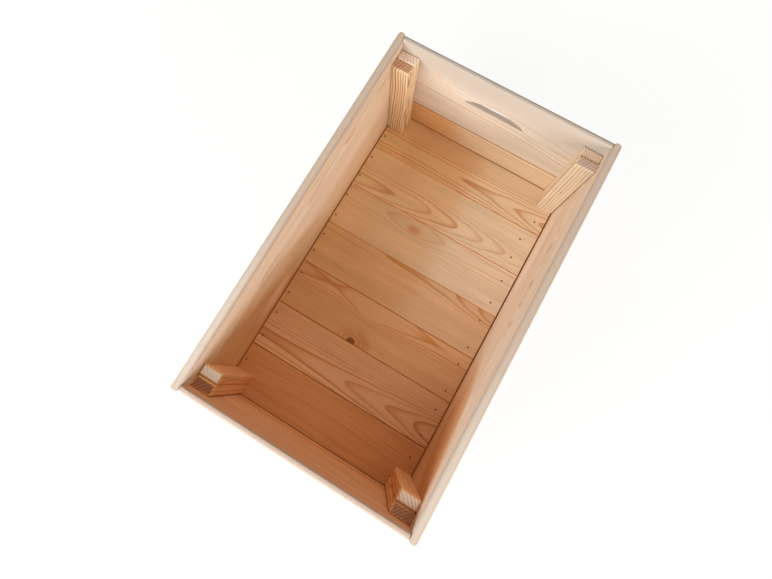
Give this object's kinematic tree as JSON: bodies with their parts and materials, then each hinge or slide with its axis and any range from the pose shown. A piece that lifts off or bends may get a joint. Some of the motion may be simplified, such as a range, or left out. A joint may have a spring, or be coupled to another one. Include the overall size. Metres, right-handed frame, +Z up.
{
  "type": "kindling box",
  "caption": "Open rectangular wooden box with paired posts in its corners, a floor of cross planks, rounded rims and a half-moon hand hole in one end wall.",
  "frame": {"origin": "on the ground, under the middle of the box", "axes": "+X along the box from the near end to the far end, +Y across it towards the left wall, +Z up"},
  "size_m": [0.58, 0.354, 0.275],
  "materials": {
    "side_pine": "planed bare pine",
    "end_pine": "planed bare pine",
    "post_pine": "planed bare pine, sawn ends",
    "floor_pine": "planed bare pine",
    "cleat_pine": "sawn bare pine",
    "nail_steel": "plain wire steel, dulled"
  },
  "bodies": {
    "root": {"side_wall_left": "side_pine", "side_wall_right": "side_pine", "end_board_far_upper": "end_pine", "end_board_far_middle": "end_pine", "end_board_far_lower": "end_pine", "end_board_near_upper": "end_pine", "end_board_near_middle": "end_pine", "end_board_near_lower": "end_pine", "post_far_left_outer": "post_pine", "post_far_left_inner": "post_pine", "post_far_right_outer": "post_pine", "post_far_right_inner": "post_pine", "post_near_left_outer": "post_pine", "post_near_left_inner": "post_pine", "post_near_right_outer": "post_pine", "post_near_right_inner": "post_pine", "floor_plank_1": "floor_pine", "floor_plank_2": "floor_pine", "floor_plank_3": "floor_pine", "floor_plank_4": "floor_pine", "floor_plank_5": "floor_pine", "floor_plank_6": "floor_pine", "floor_plank_7": "floor_pine", "floor_cleat_left": "cleat_pine", "floor_cleat_right": "cleat_pine", "floor_nails": "nail_steel", "post_nails": "nail_steel", "side_wall_nails": "nail_steel", "end_wall_nails": "nail_steel", "cleat_nails": "nail_steel"}
  },
  "joints": []
}
